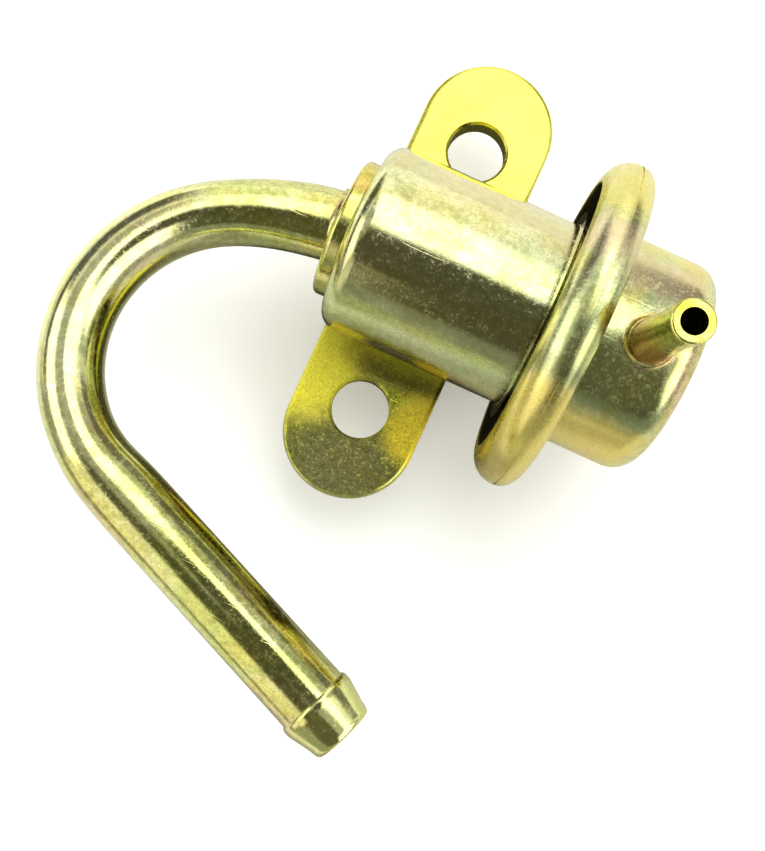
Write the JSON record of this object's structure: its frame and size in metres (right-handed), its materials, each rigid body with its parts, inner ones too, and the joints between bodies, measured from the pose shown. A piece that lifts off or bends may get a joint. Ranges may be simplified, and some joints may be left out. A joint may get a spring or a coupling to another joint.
{
  "type": "fuel pressure regulator",
  "caption": "Flange-mounted fuel pressure regulator with a drawn housing, crimped spring cap, side vacuum nipple and a bent return pipe with a hose bead.",
  "frame": {"origin": "centre of the mounting plate's underside, on the inlet spigot's axis, midway between the bolt holes", "axes": "+X along the body towards the spring cap, +Y towards one bolt ear, +Z out of the fuel rail, the way the vacuum nipple points"},
  "size_m": [0.0652, 0.0805, 0.0496],
  "materials": {
    "yellow_zinc": "yellow chromated zinc plate, satin to glossy with iridescent patches",
    "filler": "braze filler under the plating",
    "bright_steel": "turned steel",
    "plain_steel": "pressed steel and spring wire",
    "seal_rubber": "fuel-proof rubber",
    "diaphragm_cloth": "rubber-coated cloth"
  },
  "bodies": {
    "regulator": {"mounting_plate": "yellow_zinc", "inlet_spigot": "yellow_zinc", "inlet_o_ring": "seal_rubber", "fuel_housing": "yellow_zinc", "end_washer": "yellow_zinc", "pipe_braze": "filler", "return_pipe": "yellow_zinc", "valve_seat": "bright_steel", "spring_cap": "yellow_zinc", "vacuum_nipple": "yellow_zinc", "nipple_braze": "filler", "diaphragm": "diaphragm_cloth", "main_spring": "plain_steel", "spring_seat": "plain_steel"},
    "valve": {"diaphragm_washer": "plain_steel", "valve_holder": "bright_steel", "valve_plate": "plain_steel", "valve_ball": "bright_steel", "spring_plate": "plain_steel"}
  },
  "joints": [
    {"name": "valve_lift", "type": "slide", "parent": "regulator", "child": "valve", "axis": [1, 0, 0], "range_m": [0, 0.0006], "stiffness_N_per_m": 1000, "deforming": ["main_spring", "diaphragm"]}
  ]
}
